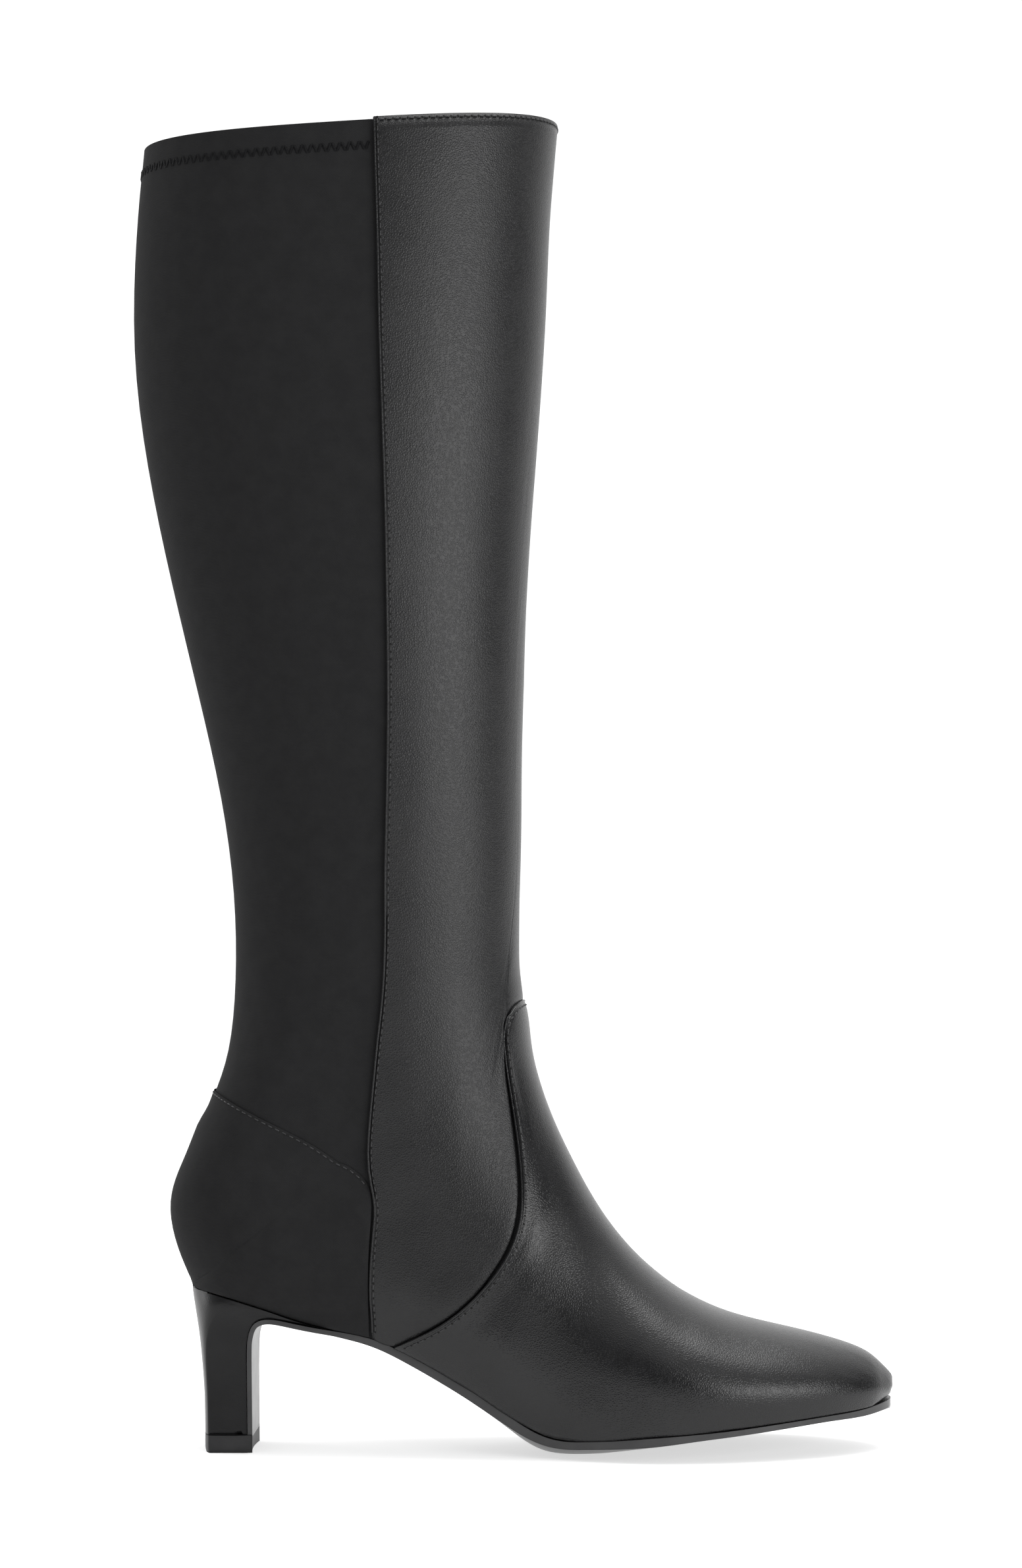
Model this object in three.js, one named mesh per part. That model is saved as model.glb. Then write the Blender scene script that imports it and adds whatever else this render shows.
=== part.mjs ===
import * as THREE from "three";

// Knee-high boot for the right foot, in millimetres.
// X runs from the heel to the toe, Z up from the floor, and -Y is the outer side of the foot.
// The origin is on the floor, in the middle of the top lift's flat bottom. The sections below count
// x from under the rearmost point of the heel counter, and the whole boot is moved at the end.

// Driving sizes
const footLength = 255;
const ballWidth = 82;
const heelHeight = 57.4;
const treadHeight = 7;
const toeSpring = 11;
const instepHeight = 98;
const shaftHeight = 309;
const calfDepth = 149;
const calfWidth = 98;
const collarDip = 3;
const legPlace = 0.27;

// Walls and clearances
const liningWall = 1.2;
const panelWall = 1.0;
const vampWall = 2.0;
const vampEdgeRoll = 0.6;
const counterWall = 0.6;
const hemFold = 0.7;
const hemDepth = 9;
const seatGap = 0.3;
const soleGap = 0.45;
const insoleWall = 2.6;
const insoleGap = 0.9;
const edgeGap = 1.1;
const counterEase = 0.3;
const counterSideGap = 0.01;

// Sole and heel
const soleEdge = 3.0;
const soleCrown = 5.2;
const flapWall = 1.6;
const weltReach = 2.7;
const heelTipLength = 17.6;
const heelTipWidth = 31;
const heelTipBack = 10.9;
const heelTipArch = 2.8;
const liftHeight = 6;
const breastArch = 0.8;
const liftRound = 0.4;

// Roundness of every outline: 2 is an ellipse, more is squarer
const roundness = 2.15;

function table(columns, rows) {
  return rows.map((row) => Object.fromEntries(columns.map((name, i) => [name, row[i]])));
}

// Last sections from the toe to the back of the heel seat. Each is a plane square to the side view,
// from the front profile (along, deep, lift, rise) down to the feather line at low.
// along and low are shares of the foot length, deep of the calf depth, lift of the heel height,
// rise of the instep height; half widths are shares of ball and calf width; plan is how far the
// body follows the plan of the sole; crown and back are the shares that round over.
const footSections = table(
  ["along", "deep", "lift", "rise", "low", "ball", "calf", "plan", "crown", "back"],
  [
    [0.99, 0, 0, 0.062, 0.984, 0.5, 0, 1, 0.76, 0.24],
    [0.978, 0, 0, 0.107, 0.977, 0.5, 0, 1, 0.76, 0.24],
    [0.9565, 0, 0, 0.157, 0.955, 0.5, 0, 1, 0.76, 0.24],
    [0.932, 0, 0, 0.192, 0.929, 0.5, 0, 1, 0.76, 0.24],
    [0.878, 0, 0, 0.243, 0.875, 0.5, 0, 1, 0.76, 0.24],
    [0.824, 0, 0, 0.288, 0.82, 0.5, 0, 1, 0.75, 0.24],
    [0.769, 0, 0, 0.339, 0.763, 0.5, 0, 1, 0.74, 0.24],
    [0.717, 0, 0.05, 0.384, 0.706, 0.5, 0, 0.85, 0.72, 0.24],
    [0.669, 0, 0.13, 0.433, 0.643, 0.488, 0, 0.6, 0.7, 0.24],
    [0.628, 0, 0.25, 0.482, 0.576, 0.463, 0, 0.35, 0.68, 0.24],
    [0.593, 0, 0.38, 0.537, 0.506, 0.439, 0, 0.15, 0.66, 0.24],
    [0.563, 0, 0.52, 0.594, 0.435, 0.43, 0, 0, 0.64, 0.26],
    [0.5365, 0, 0.66, 0.656, 0.361, 0.42, 0, 0, 0.6, 0.28],
    [0.47, 0.074, 0.79, 0.723, 0.282, 0.36, 0.045, 0, 0.55, 0.28],
    [0.4, 0.1625, 0.9, 0.803, 0.196, 0.3, 0.092, 0, 0.48, 0.26],
    [0.33, 0.265, 0.97, 0.889, 0.11, 0.25, 0.133, 0, 0.42, 0.24],
    [0.27, 0.36, 1, 1, 0.023, 0.205, 0.17, 0, 0.37, 0.24],
  ],
);

// Leg sections from the heel to the collar, from the front profile to the back profile.
// deep and backDeep are shares of the calf depth before and behind the leg's middle, backAlong of
// the foot length; a rise up to 1 is a share of the instep height, and beyond 1 of the shaft.
const legSections = table(
  ["deep", "rise", "backAlong", "backDeep", "backRise", "ball", "calf", "crown", "back"],
  [
    [0.349, 1.0405, 0, 0, 0.27, 0.12, 0.247, 0.37, 0.26],
    [0.347, 1.079, 0.0196, 0, 0.464, 0.05, 0.31, 0.39, 0.29],
    [0.348, 1.121, 0.0498, 0, 0.668, 0, 0.357, 0.42, 0.33],
    [0.351, 1.17, 0.0729, 0, 0.842, 0, 0.362, 0.45, 0.37],
    [0.353, 1.225, 0.176, -0.161, 1.031, 0, 0.372, 0.47, 0.42],
    [0.354, 1.29, legPlace, -0.326, 1.131, 0, 0.388, 0.48, 0.46],
    [0.358, 1.364, legPlace, -0.357, 1.241, 0, 0.408, 0.49, 0.49],
    [0.363, 1.451, legPlace, -0.4135, 1.361, 0, 0.43, 0.5, 0.5],
    [0.3755, 1.555, legPlace, -0.478, 1.49, 0, 0.454, 0.5, 0.5],
    [0.394, 1.672, legPlace, -0.536, 1.623, 0, 0.48, 0.5, 0.5],
    [0.41, 1.791, legPlace, -0.5715, 1.759, 0, 0.495, 0.5, 0.5],
    [0.421, 1.911, legPlace, -0.5655, 1.892, 0, 0.5, 0.5, 0.5],
    [0.44, 2.018, legPlace, -0.548, 1.99, 0, 0.5, 0.5, 0.5],
  ],
);

const legRow = footSections.length - 1;

// Feather line, where the upper meets the sole: lift is a share of the heel's rise over the tread,
// spring of the toe spring.
const featherLine = table(
  ["along", "lift", "spring"],
  [
    [0.023, 1, 0],
    [0.066, 0.964, 0],
    [0.129, 0.881, 0],
    [0.1725, 0.806, 0],
    [0.2235, 0.74, 0],
    [0.277, 0.683, 0],
    [0.312, 0.609, 0],
    [0.4, 0.365, 0],
    [0.447, 0.22, 0],
    [0.4996, 0.056, 0],
    [0.535, 0, 0],
    [0.596, 0, 0.064],
    [0.651, 0, 0.18],
    [0.757, 0, 0.39],
    [0.841, 0, 0.59],
    [0.898, 0, 0.72],
    [0.9435, 0, 0.8],
    [0.992, 0, 1],
    [1.01, 0, 1.08],
  ],
);

// Plan of the last's bottom: half width and middle line as shares of the ball width, before the
// ends are rounded off.
const plan = table(
  ["share", "half", "middle"],
  [
    [0, 0.33, 0],
    [0.2, 0.33, 0],
    [0.3, 0.312, -0.012],
    [0.4, 0.28, -0.03],
    [0.48, 0.3, -0.043],
    [0.55, 0.366, -0.043],
    [0.62, 0.445, -0.03],
    [0.69, 0.492, -0.006],
    [0.75, 0.494, 0.012],
    [0.82, 0.455, 0.027],
    [0.88, 0.392, 0.037],
    [0.93, 0.346, 0.043],
    [1, 0.268, 0.043],
  ],
);
const heelRounding = 0.32;
const toeRounding = 0.44;

// Sole bottom by share of the foot length: edge and crown are shares of the sole's edge height
// and crown depth, reach of the welt's reach past the feather line.
const soleSections = table(
  ["along", "edge", "crown", "reach"],
  [
    [0.23, 0.6, 0.25, 0.1],
    [0.31, 0.95, 0.3, 0.15],
    [0.4, 1.15, 0.35, 0.35],
    [0.447, 1.25, 0.5, 0.6],
    [0.4996, 1.05, 0.9, 0.9],
    [0.535, 0.85, 1, 1],
    [0.57, 0.85, 1, 1],
    [0.651, 0.95, 0.75, 1],
    [0.757, 0.65, 0.6, 1],
    [0.9, 0.6, 0.4, 1],
    [0.992, 0.85, 0.25, 1],
    [1.01, 0.85, 0.2, 1],
  ],
);

// Underside of the heel cover's tongue and face of its breast, from the tongue's tip to the lift:
// ahead is a share of the heel tip's length from its back, up of the height from the lift to the
// heel seat.
const breastLine = table(
  ["ahead", "up"],
  [
    [2.619, 0.741],
    [2.2205, 0.762],
    [1.7713, 0.793],
    [1.4236, 0.813],
    [1.17, 0.801],
    [1.0034, 0.758],
    [0.9165, 0.683],
    [0.8803, 0.585],
    [0.8803, 0.368],
    [0.8919, 0],
  ],
);

// Heel levels: up is a share of the height from the lift to the seat; lean, spread and arch carry
// the back, the half width and the depth of the rounded back from the tip to the seat.
const heelLevels = table(
  ["up", "lean", "spread", "arch"],
  [
    [0, 0, 0, 0],
    [0.27, 0.06, 0.01, 0],
    [0.5, 0.24, 0.05, 0.02],
    [0.66, 0.42, 0.16, 0.08],
    [0.78, 0.62, 0.36, 0.22],
    [0.88, 0.8, 0.63, 0.44],
    [0.945, 0.91, 0.84, 0.7],
    [0.98, 0.97, 0.95, 0.9],
    [1, 1, 1, 1],
  ],
);

// Rear edge of the vamp, from the middle of the instep down to the feather line: section number
// and share of the section from front to low.
const vampEdge = table(
  ["section", "across"],
  [
    [16.1, 0],
    [16.2, 0.02],
    [16.04, 0.054],
    [15.4, 0.069],
    [14.4, 0.086],
    [13.37, 0.129],
    [12.69, 0.191],
    [12.13, 0.283],
    [11.9, 0.4],
    [11.9, 0.55],
    [12.1, 0.752],
    [12.37, 0.895],
    [12.63, 1],
  ],
);

// Side seam, rear edge of the front panel, from the feather line to the collar.
const sideSeam = table(
  ["section", "across"],
  [
    [13.03, 1],
    [13.38, 0.888],
    [14.19, 0.68],
    [15.04, 0.534],
    [16.61, 0.395],
    [18.29, 0.397],
    [20.65, 0.453],
    [22.3, 0.443],
    [24.01, 0.4],
    [25.5, 0.379],
    [27.48, 0.389],
    [29, 0.423],
  ],
);

// Top seam of the counter, from the side seam to the back.
const counterSeam = table(
  ["section", "across"],
  [
    [15.04, 0.534],
    [15.5, 0.536],
    [16, 0.54],
    [16.5, 0.59],
    [17, 0.653],
    [17.5, 0.718],
    [18, 0.788],
    [18.5, 0.872],
    [19, 0.962],
    [19.2, 1],
  ],
);

function mix(a, b, t) {
  return a + (b - a) * t;
}

function smooth(t) {
  const c = THREE.MathUtils.clamp(t, 0, 1);
  return c * c * (3 - 2 * c);
}

function roundEnd(t, power = roundness) {
  const c = THREE.MathUtils.clamp(t, 0, 1);
  return Math.pow(1 - Math.pow(1 - c, power), 1 / power);
}

// Curve through evenly numbered values
function numbered(values) {
  const last = values.length - 1;
  return (at) => {
    const i = THREE.MathUtils.clamp(Math.floor(at), 0, last - 1);
    const t = at - i;
    const b = values[i];
    const c = values[i + 1];
    const a = i > 0 ? values[i - 1] : 2 * b - c;
    const d = i + 2 <= last ? values[i + 2] : 2 * c - b;
    const slope = (c - a) * t;
    const bend = (2 * a - 5 * b + 4 * c - d) * t * t;
    const twist = (3 * b - a - 3 * c + d) * t * t * t;
    return 0.5 * (2 * b + slope + bend + twist);
  };
}

// Curve through values at given places, without overshoot
function placed(places, values) {
  const last = places.length - 1;
  const steps = values.slice(1).map((v, i) => (v - values[i]) / (places[i + 1] - places[i]));
  const slopes = values.map((_, i) => {
    if (i === 0) return steps[0];
    if (i === last) return steps[last - 1];
    const product = steps[i - 1] * steps[i];
    return product <= 0 ? 0 : (2 * product) / (steps[i - 1] + steps[i]);
  });
  return (at) => {
    if (at <= places[0]) return values[0] + slopes[0] * (at - places[0]);
    if (at >= places[last]) return values[last] + slopes[last] * (at - places[last]);
    let i = 0;
    while (at > places[i + 1]) i += 1;
    const width = places[i + 1] - places[i];
    const t = (at - places[i]) / width;
    const low = values[i] * (1 + 2 * t) * (1 - t) ** 2 + slopes[i] * width * t * (1 - t) ** 2;
    const high = values[i + 1] * t * t * (3 - 2 * t) + slopes[i + 1] * width * t * t * (t - 1);
    return low + high;
  };
}

function column(rows, place, name, scale = 1) {
  return placed(
    rows.map((row) => row[place] * scale),
    rows.map((row) => row[name]),
  );
}

const liftAt = column(featherLine, "along", "lift", footLength);
const springAt = column(featherLine, "along", "spring", footLength);
const lastBack = footSections[legRow].low * footLength;
const lastTip = footSections[0].low * footLength;
const lastLength = lastTip - lastBack;
const planHalfAt = column(plan, "share", "half");
const planMiddleAt = column(plan, "share", "middle");

function featherHeight(x) {
  return treadHeight + liftAt(x) * (heelHeight - treadHeight) + springAt(x) * toeSpring;
}

// Height over the floor of a point that rises with the heel, the instep and the shaft
function heightOf(lift, rise, x) {
  const foot = treadHeight + lift * (heelHeight - treadHeight) + springAt(x) * toeSpring;
  return foot + Math.min(rise, 1) * instepHeight + Math.max(rise - 1, 0) * shaftHeight;
}

// Half width of the last's plan at x, grown outwards all round by grow
function planHalf(x, grow) {
  const share = THREE.MathUtils.clamp((x - lastBack) / lastLength, 0, 1);
  const full = planHalfAt(share) * ballWidth + grow;
  const heel = roundEnd((x - lastBack + grow) / (heelRounding * ballWidth + grow));
  const toe = roundEnd((lastTip + grow - x) / (toeRounding * ballWidth + grow));
  return full * heel * toe;
}

function planMiddle(x) {
  return planMiddleAt(THREE.MathUtils.clamp((x - lastBack) / lastLength, 0, 1)) * ballWidth;
}

const frontPoints = [
  ...footSections.map((row) => {
    const x = row.along * footLength + row.deep * calfDepth;
    return [x, heightOf(row.lift, row.rise, x)];
  }),
  ...legSections.map((row) => {
    const x = legPlace * footLength + row.deep * calfDepth;
    return [x, heightOf(1, row.rise, 0)];
  }),
];
const backPoints = [
  [lastBack, featherHeight(lastBack)],
  ...legSections.map((row) => {
    const x = row.backAlong * footLength + row.backDeep * calfDepth;
    return [x, heightOf(1, row.backRise, 0)];
  }),
];
const collarRow = frontPoints.length - 1;
const frontX = numbered(frontPoints.map((p) => p[0]));
const frontZ = numbered(frontPoints.map((p) => p[1]));
const backX = numbered(backPoints.map((p) => p[0]));
const backZ = numbered(backPoints.map((p) => p[1]));
const lowX = numbered(footSections.map((row) => row.low * footLength));
const bodyRows = [...footSections, ...legSections.map((row) => ({ plan: 0, ...row }))];
const bodyHalf = numbered(bodyRows.map((row) => row.ball * ballWidth + row.calf * calfWidth));
const planWeight = numbered(bodyRows.map((row) => row.plan));
const crownShare = numbered(bodyRows.map((row) => row.crown));
const backShare = numbered(bodyRows.map((row) => row.back));
const bodyGrow = 1.6;
const wallBulge = 24;
const bulgeShare = 0.45;
const wrapStart = 11;

// The plane of a section, from its front point to its low point
function sectionLine(s) {
  const front = [frontX(s), frontZ(s)];
  const foot = s <= legRow;
  const x = foot ? lowX(s) : backX(s - legRow);
  const low = [x, foot ? featherHeight(x) : backZ(s - legRow)];
  return { front, low, foot, length: Math.hypot(front[0] - low[0], front[1] - low[1]) };
}

// Share of a section at a place round it: 0 at the front, 1 at the feather line or the back
function acrossOf(s, around) {
  const a = Math.abs(around);
  const wrap = smooth((s - wrapStart) / (legRow - wrapStart));
  return mix(1 - Math.cos((Math.PI * a) / 2), (1 - Math.cos(Math.PI * a)) / 2, wrap);
}

function aroundOf(s, across) {
  let low = 0;
  let high = 1;
  for (let k = 0; k < 40; k += 1) {
    const middle = (low + high) / 2;
    if (acrossOf(s, middle) < across) low = middle;
    else high = middle;
  }
  return (low + high) / 2;
}

// Point of the upper's outer face. around runs from -1 on the outer side over the front to 1 on
// the inner side, and past the back of the leg it carries on round.
function skin(s, around) {
  const turned = Math.abs(around) > 1 ? around - 2 * Math.sign(around) : around;
  const side = Math.sign(turned);
  const line = sectionLine(s);
  const across = acrossOf(s, turned);
  const x = mix(line.front[0], line.low[0], across);
  const dip = collarDip * 4 * across * (1 - across) * smooth((s - collarRow + 3) / 3);
  const z = mix(line.front[1], line.low[1], across) - dip;
  const slope = Math.abs(line.front[0] - line.low[0]) / line.length;
  const reach = line.foot ? (line.low[0] - lastBack) / Math.max(slope, 0.2) : 0;
  const backRound = roundEnd(((1 - across) * line.length + reach) / (backShare(s) * line.length));
  const frontRound = roundEnd(across / crownShare(s));
  const weight = THREE.MathUtils.clamp(planWeight(s), 0, 1);
  const body = mix(bodyHalf(s), planHalf(x, bodyGrow), weight) * frontRound * backRound;
  const height = (z - featherHeight(x)) / Math.min(wallBulge, bulgeShare * line.length);
  const risen = 1 - (1 - THREE.MathUtils.clamp(height, 0, 1)) ** 2;
  const half = mix(planHalf(x, 0), body, risen);
  const middle = planMiddle(x) * mix(1, weight, risen);
  const closed = s <= 0 || (s >= legRow && Math.abs(turned) === 1);
  return new THREE.Vector3(x, closed ? middle : middle + side * half, z);
}

const probe = 0.004;
// Sections of upper and vamp over the forefoot, and of upper and counter round the heel
const foreRows = [0, 0.12, 0.45, 1, 1.7, 2.5, 3.4, 4.3, 5.3, 6.3, 7.4, 8.5, 9.4, 10.2, wrapStart];
const seatRows = [counterSeam[0].section, 15.5, 15.8, 15.96, legRow, legRow + 0.5, legRow + 1];
const heelRows = [13.4, 14, 14.6, ...seatRows];

function skinNormal(s, around) {
  const line = sectionLine(s);
  if (s <= 0) {
    const along = new THREE.Vector3(line.front[1] - line.low[1], 0, line.low[0] - line.front[0]);
    return along.normalize();
  }
  const low = line.foot ? Math.max(around - probe, -1) : around - probe;
  const high = line.foot ? Math.min(around + probe, 1) : around + probe;
  const over = skin(s, high).sub(skin(s, low));
  const before = Math.max(s - probe, 0.0001);
  const after = Math.min(s + probe, collarRow);
  const up = skin(after, around).sub(skin(before, around));
  const normal = over.cross(up).normalize();
  if (Math.abs(around) === 1 && s >= legRow) normal.y = 0;
  if (Math.abs(around) === 1 && line.foot) normal.z = 0;
  return normal.normalize();
}

// Point at a distance out from the upper's outer face. The feather edge stays on its height, and
// nothing over it droops below its own height.
function offSkin(s, around, out) {
  const start = skin(s, around);
  const height = start.z - featherHeight(start.x);
  const point = start.addScaledVector(skinNormal(s, around), out);
  if (s > legRow) return point;
  const level = featherHeight(point.x) + height;
  if (Math.abs(around) === 1) point.z = level;
  else if (out > 0) point.z = Math.max(point.z, level);
  return point;
}

// Closed body between two grids of points, its quads cut the same way on both sides of the middle
// column. key(i, j) gives the same name to places that are one point, and open(i, j) says that the
// quad from a place on is left out.
function closedBody(grid) {
  const { rows, columns, outer, inner } = grid;
  const key = grid.key ?? ((i, j) => `${i},${j}`);
  const open = grid.open ?? (() => false);
  const numbers = new Map();
  const points = [];
  const faces = [];
  const number = (wall, i, j) => {
    const name = `${wall}:${key(i, j)}`;
    if (!numbers.has(name)) {
      numbers.set(name, points.length);
      points.push(wall === "out" ? outer(i, j) : inner(i, j));
    }
    return numbers.get(name);
  };
  const face = (a, b, c) => {
    if (a !== b && b !== c && a !== c) faces.push([a, b, c]);
  };
  const edges = new Map();
  const addEdge = (from, to) => {
    if (key(...from) === key(...to)) return;
    const back = `${key(...to)}>${key(...from)}`;
    if (edges.has(back)) edges.delete(back);
    else edges.set(`${key(...from)}>${key(...to)}`, [from, to]);
  };
  for (let i = 0; i < rows; i += 1) {
    for (let j = 0; j < columns; j += 1) {
      const ring = [[i, j], [i, j + 1], [i + 1, j + 1], [i + 1, j]];
      const names = ring.map((place) => key(...place));
      if (open(i, j) || (names[0] === names[1] && names[2] === names[3])) continue;
      const o = ring.map((place) => number("out", ...place));
      const n = ring.map((place) => number("in", ...place));
      const cuts = 2 * j < columns ? [[0, 1, 2], [0, 2, 3]] : [[0, 1, 3], [1, 2, 3]];
      for (const [p, q, r] of cuts) {
        face(o[p], o[q], o[r]);
        face(n[p], n[r], n[q]);
      }
      ring.forEach((place, k) => addEdge(place, ring[(k + 1) % 4]));
    }
  }
  for (const [from, to] of edges.values()) {
    const a = number("out", ...from);
    const b = number("out", ...to);
    const c = number("in", ...to);
    const d = number("in", ...from);
    face(b, a, d);
    face(b, d, c);
  }
  const geometry = new THREE.BufferGeometry();
  const flat = points.flatMap((p) => [p.x, p.y, p.z]);
  geometry.setAttribute("position", new THREE.Float32BufferAttribute(flat, 3));
  geometry.setIndex(faces.flat());
  geometry.computeVertexNormals();
  return geometry;
}

// A curve on the skin from a table of section and share, as section and place round it
function skinCurve(rows) {
  const section = numbered(rows.map((row) => row.section));
  const place = numbered(rows.map((row) => aroundOf(row.section, row.across)));
  const last = rows.length - 1;
  return (t) => {
    const at = THREE.MathUtils.clamp(t, 0, 1) * last;
    const around = THREE.MathUtils.clamp(place(at), 0, 1);
    return [section(at), around > 1 - 1e-6 ? 1 : around];
  };
}

// Patch of the skin between four curves, low and high over u, left and right over v
function patch(low, high, left, right) {
  const corner = [low(0), low(1), high(0), high(1)];
  return (u, v) => [0, 1].map((k) => {
    const ruled = mix(low(u)[k], high(u)[k], v) + mix(left(v)[k], right(v)[k], u);
    const flat = mix(mix(corner[0][k], corner[1][k], u), mix(corner[2][k], corner[3][k], u), v);
    return ruled - flat;
  });
}

const vampEdgeAt = skinCurve(vampEdge);
const vampEdgeSteps = vampEdge.length - 1;

// Place on the skin at the edge gap behind the vamp's edge, square to the edge
function besideVamp(c) {
  const [s, a] = vampEdgeAt(c);
  const before = vampEdgeAt(c - probe);
  const after = vampEdgeAt(c + probe);
  const along = skin(...after).sub(skin(...before));
  const aside = skinNormal(s, a).cross(along).normalize().multiplyScalar(edgeGap);
  const inward = Math.min(a, 1 - probe);
  const up = skin(s + probe, inward).sub(skin(s - probe, inward)).divideScalar(2 * probe);
  const over = skin(s, inward + probe).sub(skin(s, inward - probe)).divideScalar(2 * probe);
  const [uu, uo, oo] = [up.dot(up), up.dot(over), over.dot(over)];
  const [au, ao] = [aside.dot(up), aside.dot(over)];
  const size = uu * oo - uo * uo;
  const moved = [s + (au * oo - ao * uo) / size, a + (ao * uu - au * uo) / size];
  if (c === 0 || c === 1) moved[1] = a;
  return moved;
}

// Places on the skin for every row and column of an overlay, with the height that its flat facets
// need so that none of them dips below the seat gap
function overlay(rows, columns, place) {
  const places = Array.from({ length: rows + 1 }, (_, i) =>
    Array.from({ length: columns + 1 }, (_, j) => place(i, j)));
  const points = places.map((row) => row.map(([s, a]) => skin(s, a)));
  const rise = (i, j, k, l) => {
    if (k < 0 || l < 0 || k > rows || l > columns) return 0;
    const s = (places[i][j][0] + places[k][l][0]) / 2;
    const own = places[i][j][1];
    const next = places[k][l][1];
    if (s < legRow && Math.abs(own - next) > 1) return 0;
    const a = (own + next) / 2 + (Math.abs(own - next) > 1 ? Math.sign(own) : 0);
    const chord = points[i][j].clone().add(points[k][l]).multiplyScalar(0.5);
    return Math.abs(skin(s, a).sub(chord).dot(skinNormal(s, a)));
  };
  const seat = places.map((row, i) => row.map((_, j) => {
    const steps = [-1, 0, 1].flatMap((di) => [-1, 0, 1].map((dj) => rise(i, j, i + di, j + dj)));
    return seatGap + Math.max(0, ...steps);
  }));
  return (i, j, distance) => offSkin(...places[i][j], seat[i][j] + distance);
}

// The lasted upper: one wall round foot and leg, open at the collar and along the feather line
function upperBody() {
  const sides = vampEdgeSteps;
  const waistRows = [11.6, 12.2, 12.8];
  const legRows = legSections.slice(1, -1).map((_, n) => legRow + 2 + n);
  const rowHeight = frontZ(collarRow) - frontZ(collarRow - 1);
  const hemRow = collarRow - hemDepth / rowHeight;
  const hemStep = 0.03;
  const rows = [...foreRows, ...waistRows, ...heelRows, ...legRows, hemRow, hemRow + hemStep, collarRow];
  const seatRow = rows.indexOf(legRow);
  const around = (j) => (j - sides) / sides;
  const key = (i, j) => {
    if (i === 0) return `${i},${Math.min(j, 2 * sides - j)}`;
    return i >= seatRow && j === 2 * sides ? `${i},0` : `${i},${j}`;
  };
  return closedBody({
    rows: rows.length - 1,
    columns: 2 * sides,
    outer: (i, j) => skin(rows[i], around(j)),
    inner: (i, j) => offSkin(rows[i], around(j), -liningWall - (rows[i] > hemRow ? hemFold : 0)),
    key,
  });
}

// Vamp: over the toe, the instep and both sides of the foot, with its thick edge to the rear
function vampBody() {
  const sides = vampEdgeSteps;
  const straight = foreRows.length - 1;
  const reaching = [0.14, 0.3, 0.47, 0.64, 0.79, 0.91, 1];
  const rollRows = 3;
  const rows = straight + reaching.length;
  const place = (i, j) => {
    const c = Math.abs(j - sides) / sides;
    const side = Math.sign(j - sides);
    if (i <= straight) return [foreRows[i], side * c];
    const [edgeSection, edgeAround] = vampEdgeAt(c);
    const t = reaching[i - straight - 1];
    return [mix(foreRows[straight], edgeSection, t), side * mix(c, edgeAround, smooth(t))];
  };
  const wall = (i) => vampWall + vampEdgeRoll * smooth((i - rows + rollRows) / rollRows);
  const off = overlay(rows, 2 * sides, place);
  return closedBody({
    rows,
    columns: 2 * sides,
    outer: (i, j) => off(i, j, wall(i)),
    inner: (i, j) => off(i, j, 0),
    key: (i, j) => (i === 0 ? `${i},${Math.min(j, 2 * sides - j)}` : `${i},${j}`),
  });
}

// Front panel: leather from side seam to side seam, from the vamp's edge to the collar
function frontPanelBody() {
  const seam = skinCurve(sideSeam);
  const [seamSection, seamAround] = seam(0);
  const sides = vampEdgeSteps + 1;
  const edgeShare = vampEdgeSteps / sides;
  const gapped = (u) => {
    if (u <= edgeShare) return besideVamp(u / edgeShare);
    return [mix(besideVamp(1)[0], seamSection, (u - edgeShare) / (1 - edgeShare)), seamAround];
  };
  const top = (u) => [collarRow, seam(1)[1] * u];
  const front = (v) => [mix(gapped(0)[0], collarRow, v), 0];
  const surface = patch(gapped, top, front, seam);
  const rows = 26;
  const off = overlay(rows, 2 * sides, (i, j) => {
    const [s, a] = surface(Math.abs(j - sides) / sides, i / rows);
    return [s, Math.sign(j - sides) * a];
  });
  return closedBody({
    rows,
    columns: 2 * sides,
    outer: (i, j) => off(i, j, panelWall),
    inner: (i, j) => off(i, j, 0),
  });
}

// Place round the skin where a curve that climbs from section to section meets one of them
function meeting(curve, section, from, to) {
  let low = from;
  let high = to;
  for (let k = 0; k < 40; k += 1) {
    const middle = (low + high) / 2;
    if (curve(middle)[0] < section) low = middle;
    else high = middle;
  }
  return curve((low + high) / 2)[1];
}

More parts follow.
